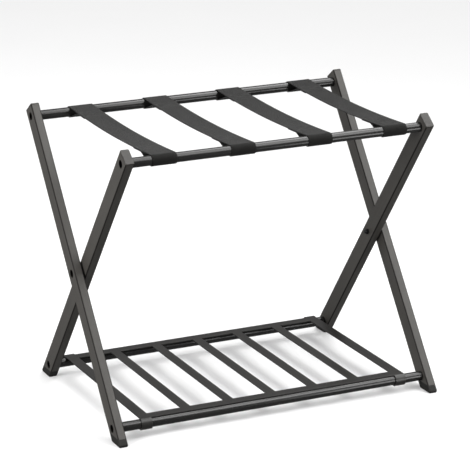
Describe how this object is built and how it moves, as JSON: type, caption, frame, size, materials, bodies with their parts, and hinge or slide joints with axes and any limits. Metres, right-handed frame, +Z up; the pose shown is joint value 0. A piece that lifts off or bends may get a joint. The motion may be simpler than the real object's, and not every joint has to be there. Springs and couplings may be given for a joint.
{
  "type": "folding luggage rack",
  "caption": "Folding X-frame luggage rack with webbing straps across the top and a slatted shoe shelf hooked onto the lower crossbars.",
  "frame": {"origin": "on the floor, under the middle of the open rack", "axes": "+X along the crossbars, from the left legs to the right legs; +Y from front to back; +Z up"},
  "size_m": [0.68, 0.4512, 0.5655],
  "materials": {
    "leg_enamel": "fine-grained satin powder coat, warm charcoal",
    "bar_enamel": "satin powder coat, near black",
    "shelf_enamel": "fine-grained satin powder coat, charcoal",
    "cap_plastic": "moulded, fine texture",
    "foot_plastic": "moulded, fine texture",
    "webbing": "black woven nylon webbing",
    "black_steel": "black oxide",
    "zinc_steel": "zinc plated",
    "nylon": "black nylon"
  },
  "bodies": {
    "outer_frame": {"outer_leg_left": "leg_enamel", "outer_leg_right": "leg_enamel", "outer_top_cap_left": "cap_plastic", "outer_top_cap_right": "cap_plastic", "outer_foot_left": "foot_plastic", "outer_foot_right": "foot_plastic", "upper_rear_bar": "bar_enamel", "lower_front_bar": "bar_enamel", "outer_bar_inserts": "zinc_steel", "outer_bar_bolts": "black_steel", "pivot_bolts": "black_steel", "pivot_spacers": "nylon", "pivot_nuts": "black_steel", "strap_far_left": "webbing", "strap_middle_left": "webbing", "strap_middle_right": "webbing", "strap_far_right": "webbing"},
    "inner_frame": {"inner_leg_left": "leg_enamel", "inner_leg_right": "leg_enamel", "inner_top_cap_left": "cap_plastic", "inner_top_cap_right": "cap_plastic", "inner_foot_left": "foot_plastic", "inner_foot_right": "foot_plastic", "upper_front_bar": "bar_enamel", "lower_rear_bar": "bar_enamel", "inner_bar_inserts": "zinc_steel", "inner_bar_bolts": "black_steel", "pivot_bushes": "zinc_steel"},
    "shelf": {"shelf_side_left": "shelf_enamel", "shelf_side_right": "shelf_enamel", "shelf_clip_left": "shelf_enamel", "shelf_clip_right": "shelf_enamel", "shelf_hook_left": "shelf_enamel", "shelf_hook_right": "shelf_enamel", "shelf_front_strip": "shelf_enamel", "shelf_rear_strip": "shelf_enamel", "shelf_slat_1": "shelf_enamel", "shelf_slat_2": "shelf_enamel", "shelf_slat_3": "shelf_enamel", "shelf_slat_4": "shelf_enamel", "shelf_slat_5": "shelf_enamel"}
  },
  "joints": [
    {"name": "frame_fold", "type": "hinge", "parent": "outer_frame", "child": "inner_frame", "pos_m": [0, 0, 0.276], "axis": [-1, 0, 0], "range_deg": [0, 69], "deforming": ["strap_far_left", "strap_middle_left", "strap_middle_right", "strap_far_right"]},
    {"name": "shelf_swing", "type": "hinge", "parent": "outer_frame", "child": "shelf", "pos_m": [0, -0.18807, 0.02643], "axis": [1, 0, 0], "range_deg": [0, 53]}
  ]
}
